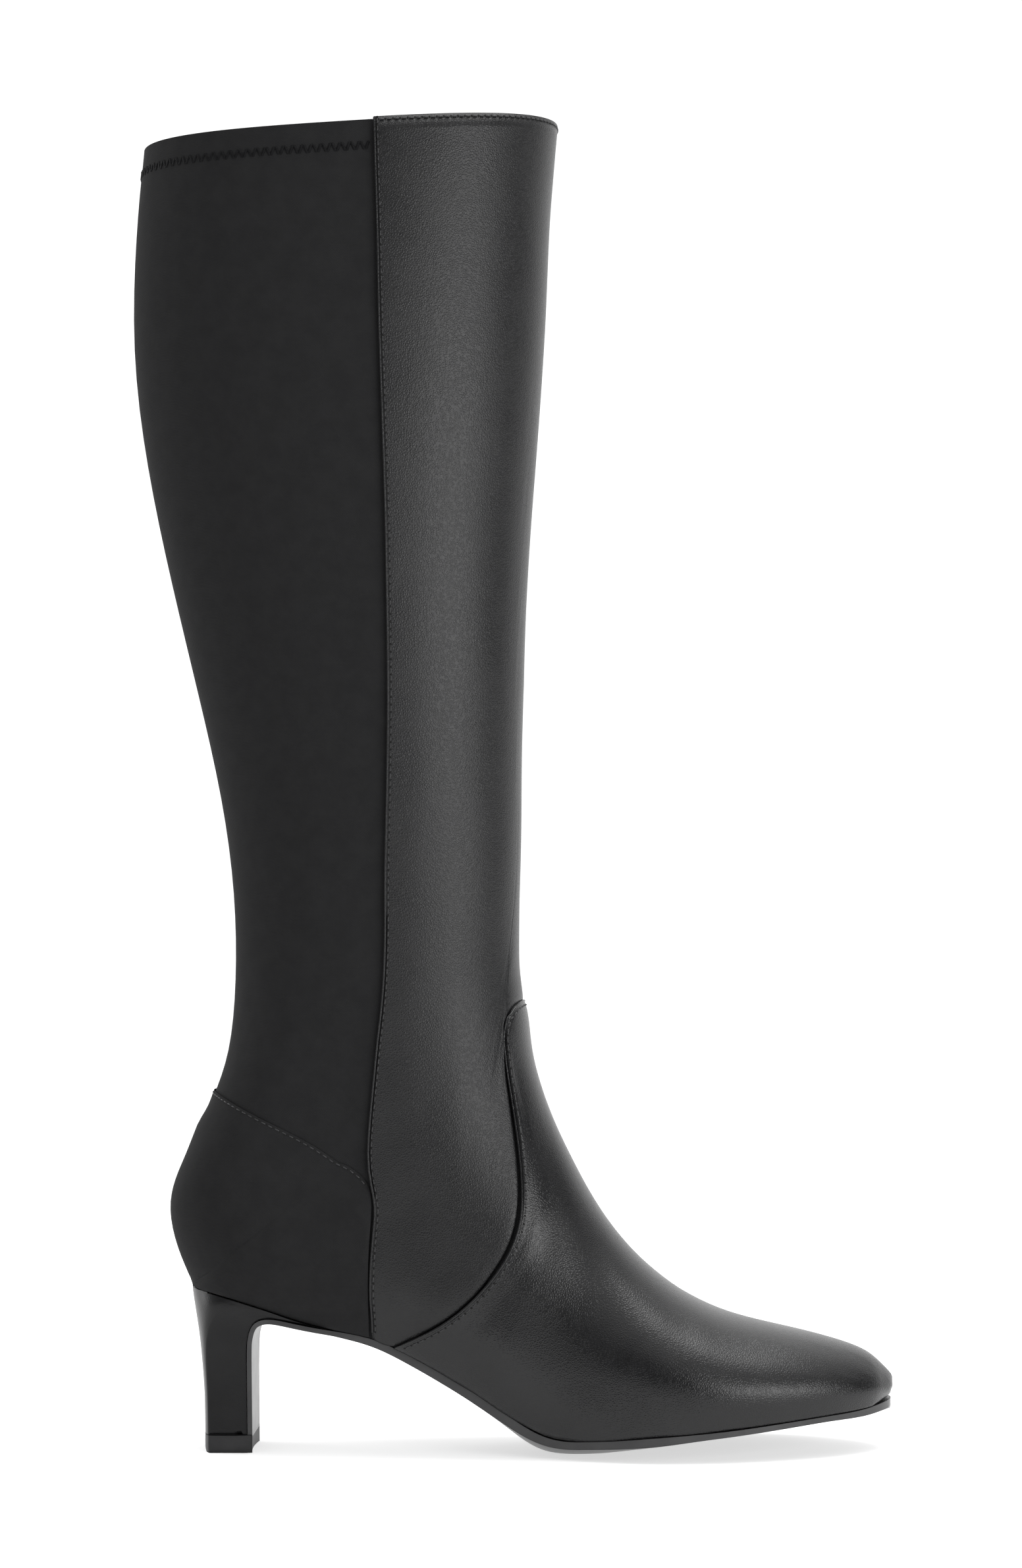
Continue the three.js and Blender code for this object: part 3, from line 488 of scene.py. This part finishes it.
def side_row(surface, guide, side, inset, search=4 * MM):
    """A row beside a piece's edge, seen from one side of the boot.

    The guide holds (x, z) along the edge, with the piece on its left seen from the outer side.
    """
    path = smooth_path(np.array([[x, 0, z] for x, z in guide]), 6)
    ahead = np.gradient(path, axis=0)
    ahead /= np.linalg.norm(ahead, axis=1)[:, None]
    inward = np.stack([-ahead[:, 2], 0 * ahead[:, 0], ahead[:, 0]], axis=1)
    aim = (0, -side, 0)
    row = []
    for place, across in zip(path, inward):
        start = place + np.array([0, side * BESIDE, 0])
        on_piece = start + across * search
        off_piece = start - across * search
        edge = edge_between(surface, on_piece, off_piece, aim, BESIDE)
        if edge is None:
            continue
        beside = edge + across * inset
        beside[1] = side * BESIDE
        spot = ray_point(surface, beside, aim, BESIDE)
        if spot is not None:
            row.append(spot)
    return np.array(row)


def round_row(surface, centre, angles, heights, inset):
    """A row below a piece's top edge, going round the boot by angle from straight ahead."""
    row = []
    for angle in np.radians(angles):
        out = np.array([math.cos(angle), math.sin(angle), 0])
        base = np.array([centre, 0, 0]) + out * AROUND
        on_piece = base + np.array([0, 0, heights[0]])
        off_piece = base + np.array([0, 0, heights[1]])
        edge = edge_between(surface, on_piece, off_piece, -out, AROUND)
        if edge is None:
            continue
        spot = ray_point(surface, base + np.array([0, 0, edge[2] - inset]), -out, AROUND)
        if spot is not None:
            row.append(spot)
    return np.array(row)


def smooth_path(points, steps=10):
    """A curve through points, as many more points."""
    ends = np.vstack([2 * points[0] - points[1], points, 2 * points[-1] - points[-2]])
    fine = []
    for i in range(1, len(ends) - 2):
        a, b, c, d = ends[i - 1: i + 3]
        for t in np.arange(steps) / steps:
            bend = (2 * a - 5 * b + 4 * c - d) * t * t + (3 * b - a - 3 * c + d) * t ** 3
            fine.append(0.5 * (2 * b + (c - a) * t + bend))
    fine.append(points[-1])
    return np.array(fine)


def resample(path, pitch, inset=0.0):
    """Even places along a path, with the direction at each."""
    steps = np.linalg.norm(np.diff(path, axis=0), axis=1)
    along = np.concatenate([[0], np.cumsum(steps)])
    length = along[-1] - 2 * inset
    count = max(2, int(round(length / pitch)) + 1)
    at = inset + np.linspace(0, length, count)
    places = np.stack([np.interp(at, along, path[:, k]) for k in range(3)], axis=1)
    ahead = np.stack([np.interp(at + 0.3 * MM, along, path[:, k]) for k in range(3)], axis=1)
    behind = np.stack([np.interp(at - 0.3 * MM, along, path[:, k]) for k in range(3)], axis=1)
    directions = ahead - behind
    return places, directions / np.linalg.norm(directions, axis=1)[:, None]


def bead(name):
    """One stitch: a thread along X, full in the middle, with both ends dipping into their holes."""
    bpy.ops.mesh.primitive_uv_sphere_add(segments=8, ring_count=6, radius=0.5)
    stitch = bpy.context.active_object
    stitch.name = name
    edit(stitch)
    bpy.ops.mesh.select_all(action="SELECT")
    bpy.ops.transform.rotate(value=math.pi / 2, orient_axis="Y", center_override=(0, 0, 0))
    leave_edit()
    pick_points(stitch, lambda place: 0.2 < abs(place.x) < 0.3)
    bpy.ops.transform.resize(value=(1.3, 1.2, 1.2), center_override=(0, 0, 0))
    leave_edit()
    pick_points(stitch, lambda place: abs(place.x) > 0.42)
    bpy.ops.transform.translate(value=(0, 0, -0.4))
    leave_edit()
    return stitch


def copies_of(model, name, matrices):
    """One mesh with a copy of the model for each matrix of axes and place."""
    base = positions(model.data)
    faces = [list(face.vertices) for face in model.data.polygons]
    points = []
    polygons = []
    for k, (axes, place) in enumerate(matrices):
        points.append(base @ axes + place)
        polygons += [[v + k * len(base) for v in face] for face in faces]
    mesh = bpy.data.meshes.new(name)
    mesh.from_pydata(np.vstack(points).tolist(), [], polygons)
    mesh.shade_smooth()
    piece = bpy.data.objects.new(name, mesh)
    bpy.context.scene.collection.objects.link(piece)
    return piece


bead_model = bead("bead_model")


def stitch_frames(surface, path, pitch, size, slants=(0,), lift=THREAD_LIFT, first=0.5):
    """Axes and place of every stitch along a path.

    Size is length, width and height, slants turn the stitches by turns, and first is where the
    first one lies, in steps from the path's end.
    """
    places, directions = resample(path, pitch, first * pitch)
    frames = []
    for k, (place, direction) in enumerate(zip(places, directions)):
        on, normal, _, _ = surface.find_nearest(Vector(place))
        turn = math.radians(slants[k % len(slants)])
        forward = Vector(direction)
        forward = (forward - normal * forward.dot(normal)).normalized()
        aside = normal.cross(forward)
        lean = forward * math.cos(turn) + aside * math.sin(turn)
        across = normal.cross(lean)
        axes = np.array([lean * size[0], across * size[1], normal * size[2]])
        frames.append((axes, np.array(on + normal * lift)))
    return frames


def sew(name, surface, path, pitch, size, material, slants=(0,)):
    """A row of stitches."""
    row = copies_of(bead_model, name, stitch_frames(surface, path, pitch, size, slants))
    finish_piece(row, material)


def punch(name, surface, path, pitch):
    """The needle holes between stitches, as small dimples coloured near black: painted shade of the
    holes.
    """
    frames = stitch_frames(surface, path, pitch, NEEDLE_HOLE, lift=0.0, first=0.0)
    row = copies_of(bead_model, name, frames)
    finish_piece(row, painted_hole_shade)


def fold(name, path, radius, material):
    """A thin rounded fold of leather along a path."""
    curve = bpy.data.curves.new(name, "CURVE")
    curve.dimensions = "3D"
    curve.bevel_depth = radius
    curve.bevel_resolution = 2
    curve.use_fill_caps = True
    spline = curve.splines.new("POLY")
    spline.points.add(len(path) - 1)
    spline.points.foreach_set("co", np.hstack([path, np.ones((len(path), 1))]).ravel())
    piece = bpy.data.objects.new(name, curve)
    bpy.context.scene.collection.objects.link(piece)
    bpy.ops.object.select_all(action="DESELECT")
    piece.select_set(True)
    bpy.context.view_layer.objects.active = piece
    bpy.ops.object.convert(target="MESH")
    piece.data.shade_smooth()
    finish_piece(piece, material)


# The stretch shaft, with its lining


def line_inside(piece, material):
    """Puts a material on the faces that look at the inside of the boot."""
    surface = surface_of(piece)
    piece.data.materials.append(material)
    for face in piece.data.polygons:
        start = face.center + face.normal * 0.5 * MM
        hit, _, _, distance = surface.ray_cast(start, face.normal)
        if hit is not None and distance > OPEN_ROOM:
            face.material_index = 1


shaft = merged_copy("upper", "stretch_shaft")
shape(shaft, tuck_heel)
soften_edges(shaft, 0.3 * MM)
subdivide(shaft, 2)
finish_piece(shaft, stretch, ["upper"])
line_inside(shaft, lining)

# The counter's top edge seen from the side, as x and z in metres
COUNTER_EDGE = [(0.0505, 0.0963), (0.0335, 0.1072), (0.0161, 0.1161), (0.0030, 0.1224)]

heel_fabric = merged_copy("counter", "heel_fabric")
shape(heel_fabric, tuck_heel)
crease_edges(heel_fabric, 55)
subdivide(heel_fabric, 2)
shape(heel_fabric, skive(surface_of(shaft), COUNTER_EDGE))
finish_piece(heel_fabric, stretch, ["counter"])

# Leather


def above_tab(place):
    return place.x > 90 * MM and 150 * MM < place.z < 270 * MM


def on_panel_rim(place):
    return place.x < 75 * MM or place.z > 455 * MM


def on_shin(place):
    return place.x > 83 * MM and 60 * MM < place.z < 270 * MM


def on_toe_tip(place):
    return place.x > 230.5 * MM and place.z > 14 * MM


def behind_toe_tip(place):
    return place.x < 226 * MM


def on_instep(place):
    return place.x < 140 * MM and place.z > 45 * MM


front = merged_copy("front_panel", "shaft_front_leather")
unfold(front, surface_of(shaft), above_tab, 16)
crease_edges(front, 60, on_panel_rim)
subdivide(front, 2)
relax(front, on_shin, 8)
shape(front, step_top)
finish_piece(front, shaft_leather, ["front_panel"])

# Soft ridges and troughs of the vamp: points as x and z in metres, then width and height
VAMP_CREASES = [
    (
        [(0.1045, 0.118), (0.1075, 0.098), (0.1080, 0.082), (0.1035, 0.070), (0.0950, 0.0580)],
        3.0 * MM, 0.35 * MM,
    ),
    ([(0.1095, 0.122), (0.1130, 0.102), (0.1150, 0.085), (0.1120, 0.068)], 4.0 * MM, -0.4 * MM),
    ([(0.1230, 0.090), (0.1290, 0.072), (0.1330, 0.056), (0.1330, 0.040)], 5.5 * MM, -0.35 * MM),
    ([(0.1560, 0.056), (0.1590, 0.045), (0.1590, 0.034)], 4.5 * MM, -0.3 * MM),
]

vamp = merged_copy("vamp", "vamp_front_leather")
relax(vamp, on_toe_tip, 5)
shape(vamp, lean_tab)
crease_edges(vamp, 60, behind_toe_tip)
subdivide(vamp, 2)
relax(vamp, on_instep, 6)
for line, width, height in VAMP_CREASES:
    shape(vamp, soft_line(line, width, height))
finish_piece(vamp, vamp_leather, ["vamp"])

# Heel and sole


def on_rear_ridge_or_foot(place):
    return place.x < 4 * MM or place.z < 14 * MM


heel = merged_copy("heel", "heel_cover")
soften_edges(heel, 0.45 * MM, 40)
crease_edges(heel, 22, on_rear_ridge_or_foot)
subdivide(heel, 2)
finish_piece(heel, heel_leather, ["heel"])

sole = merged_copy("outsole", "outsole_rubber")
soften_edges(sole, 0.6 * MM)
subdivide(sole, 2)
finish_piece(sole, sole_rubber, ["outsole"])

lift = merged_copy("top_lift", "heel_lift")
soften_edges(lift, 0.6 * MM, 35)
subdivide(lift, 1)
finish_piece(lift, lift_rubber, ["top_lift"])

insole = merged_copy("insole", "insole_cover")
soften_edges(insole, 0.6 * MM)
subdivide(insole, 2)
finish_piece(insole, sock, ["insole"])

# Seams

shaft_surface = surface_of(shaft)
front_surface = surface_of(front)
vamp_surface = surface_of(vamp)
counter_surface = surface_of(heel_fabric)

# Seam lines seen from the side, as x and z in metres
SIDE_SEAM = [
    (0.0524, 0.464), (0.0538, 0.415), (0.0549, 0.367), (0.0564, 0.326), (0.0569, 0.284),
    (0.0570, 0.247), (0.0562, 0.211), (0.0559, 0.190), (0.0558, 0.154), (0.0544, 0.128),
    (0.0523, 0.095), (0.0516, 0.075), (0.0513, 0.052), (0.0515, 0.0435),
]
VAMP_EDGE = [
    (0.0962, 0.1530), (0.0953, 0.1490), (0.0965, 0.1399), (0.0985, 0.1266), (0.1009, 0.1123),
    (0.1025, 0.0992), (0.1031, 0.0854), (0.1019, 0.0793), (0.0986, 0.0701), (0.0903, 0.0597),
    (0.0816, 0.0506), (0.0703, 0.0429), (0.0625, 0.0388),
]

# Middles that rows go round, as x in metres, and the rays cast on the way
COLLAR_CENTRE = 0.042
ANKLE_CENTRE = 0.070
HEEL_CENTRE = 0.030
EDGE_RAYS = 26
FRONT_RAYS = 90
BACK_RAYS = 120
SEAM_CLEARANCE = 1.5


def angle_of(place, centre):
    """Degrees from straight ahead, round a middle."""
    return math.degrees(math.atan2(place[1], place[0] - centre))


def round_edge(surface, outer, inner, centre, heights, inset):
    """The row along an edge that climbs the outer side, crosses over and comes down the inner side."""
    first = angle_of(outer[-1], centre)
    last = angle_of(inner[-1], centre)
    if last < first or outer[-1][0] < centre:
        first += 360
    angles = np.linspace(first, last, EDGE_RAYS)[1:-1]
    between = round_row(surface, centre, angles, heights, inset)
    return np.vstack([outer, between, inner[::-1]])


def vamp_line(inset):
    """A row along the vamp's edge, up one side of the ankle, over the shin and down the other."""
    outer, inner = (side_row(vamp_surface, VAMP_EDGE, side, inset)[::-1] for side in (-1, 1))
    return round_edge(vamp_surface, outer, inner, ANKLE_CENTRE, TAB_EDGE, inset)


def counter_line(inset):
    """A row along the counter's top edge, from one side seam round the back to the other."""
    outer, inner = (side_row(counter_surface, COUNTER_EDGE, side, inset) for side in (-1, 1))
    return round_edge(counter_surface, outer, inner, HEEL_CENTRE, COUNTER_BACK_EDGE, inset)


for side, label in ((-1, "outer"), (1, "inner")):
    row = side_row(front_surface, SIDE_SEAM, side, SEAM_INSET)
    sew(
        f"side_stitches_{label}", front_surface, row, SEAM_PITCH,
        SEAM_STITCH, black_thread,
    )
    punch(f"side_hole_shade_{label}", front_surface, row, SEAM_PITCH)
    edge = side_row(front_surface, SIDE_SEAM, side, SIDE_FOLD_INSET)
    fold(f"side_fold_{label}", edge, SIDE_FOLD_RADIUS, shaft_leather)

vamp_row = vamp_line(VAMP_INSET)
sew("vamp_stitches", vamp_surface, vamp_row, VAMP_PITCH, SEAM_STITCH, black_thread)
punch("vamp_hole_shade", vamp_surface, vamp_row, VAMP_PITCH)
fold("vamp_fold", vamp_line(VAMP_FOLD_INSET), VAMP_FOLD_RADIUS, vamp_leather)

counter_row = counter_line(COUNTER_INSET)
sew(
    "counter_stitches", counter_surface, counter_row, COUNTER_PITCH,
    COUNTER_STITCH, black_thread,
)
punch("counter_hole_shade", counter_surface, counter_row, COUNTER_PITCH)

# Stitches under the collar's edge, over the shin from seam to seam
seam_angle = angle_of(side_row(front_surface, SIDE_SEAM[:3], -1, 0.0)[0], COLLAR_CENTRE)
ahead_angles = np.linspace(seam_angle + SEAM_CLEARANCE, -seam_angle - SEAM_CLEARANCE, FRONT_RAYS)
top_row = round_row(front_surface, COLLAR_CENTRE, ahead_angles, COLLAR_FRONT_EDGE, TOP_INSET)
sew("top_stitches", front_surface, top_row, SEAM_PITCH, SEAM_STITCH, black_thread)
punch("top_hole_shade", front_surface, top_row, SEAM_PITCH)

# Zig-zag stitching of the stretch hem, from seam to seam round the back
behind_angles = np.linspace(
    seam_angle - SEAM_CLEARANCE, -seam_angle + SEAM_CLEARANCE - 360, BACK_RAYS
)
hem_row = round_row(shaft_surface, COLLAR_CENTRE, behind_angles, COLLAR_BACK_EDGE, HEM_DEPTH)
sew(
    "hem_stitches", shaft_surface, hem_row, HEM_PITCH / 2,
    HEM_STITCH, hem_thread, HEM_SLANTS,
)

bpy.data.objects.remove(bead_model)


# Floor, light and camera

FLOOR_WIDTH = 60

bpy.ops.mesh.primitive_plane_add(size=FLOOR_WIDTH, location=(0, 0, 0))
floor = bpy.context.active_object
floor.name = "studio_floor"
floor_material, _, _ = shader(
    "studio_floor_white", Base_Color=(0.55, 0.55, 0.55, 1), Roughness=0.9,
    Emission_Color=(1, 1, 1, 1), Emission_Strength=0.6,
)
floor.data.materials.append(floor_material)

world = bpy.data.worlds.new("white_studio")
bpy.context.scene.world = world
world.use_nodes = True


def studio_world(tree, bright, dark):
    """White overhead and behind the boot, dim towards the room in front of it."""
    direction = add_node(tree, "ShaderNodeTexCoord").outputs["Generated"]
    parts = add_node(tree, "ShaderNodeSeparateXYZ")
    tree.links.new(direction, parts.inputs["Vector"])
    ahead = add_node(
        tree, "ShaderNodeMapRange", interpolation_type="SMOOTHSTEP", From_Min=0.75, From_Max=0.1
    )
    low = add_node(
        tree, "ShaderNodeMapRange", interpolation_type="SMOOTHSTEP", From_Min=0.8, From_Max=0.35
    )
    tree.links.new(parts.outputs["Y"], ahead.inputs["Value"])
    tree.links.new(parts.outputs["Z"], low.inputs["Value"])
    room = add_node(tree, "ShaderNodeMath", operation="MULTIPLY")
    tree.links.new(ahead.outputs["Result"], room.inputs[0])
    tree.links.new(low.outputs["Result"], room.inputs[1])
    strength = add_node(tree, "ShaderNodeMapRange", To_Min=bright, To_Max=dark)
    tree.links.new(room.outputs["Value"], strength.inputs["Value"])
    background = tree.nodes["Background"]
    background.inputs["Color"].default_value = (1, 1, 1, 1)
    tree.links.new(strength.outputs["Result"], background.inputs["Strength"])


studio_world(world.node_tree, bright=1.15, dark=0.1)


def softbox(name, place, aim, size, power):
    """A soft rectangular light turned towards a point."""
    lamp = bpy.data.lights.new(name, "AREA")
    lamp.shape = "RECTANGLE"
    lamp.size, lamp.size_y = size
    lamp.energy = power
    light = bpy.data.objects.new(name, lamp)
    light.location = place
    light.rotation_euler = (Vector(aim) - Vector(place)).to_track_quat("-Z", "Y").to_euler()
    bpy.context.scene.collection.objects.link(light)


softbox("front_light", place=(1.2, -1.05, 0.42), aim=(0.1, 0, 0.25), size=(1.1, 0.6), power=13)
softbox("top_light", place=(0.35, 0.1, 1.7), aim=(0.12, 0, 0.1), size=(1.3, 1.0), power=24)
softbox("rear_light", place=(-1.2, 0.5, 0.5), aim=(0.0, 0, 0.1), size=(0.4, 1.0), power=6)

# The camera stands square to the outer side; its frame is 559 mm tall at the boot's middle plane
CAMERA_PLACE = Vector((0.1203, -1.35, 0.182))
FRAME_CENTRE = Vector((0.0993, 0.0, 0.235))
FRAME_HEIGHT = 0.559
SENSOR = 36.0

camera_data = bpy.data.cameras.new("camera")
camera_data.sensor_width = SENSOR
camera_data.lens = SENSOR * (FRAME_CENTRE - CAMERA_PLACE).length / FRAME_HEIGHT
camera = bpy.data.objects.new("camera", camera_data)
camera.location = CAMERA_PLACE
camera.rotation_euler = (FRAME_CENTRE - CAMERA_PLACE).to_track_quat("-Z", "Y").to_euler()
bpy.context.scene.collection.objects.link(camera)
bpy.context.scene.camera = camera
bpy.context.scene.view_settings.view_transform = "Standard"
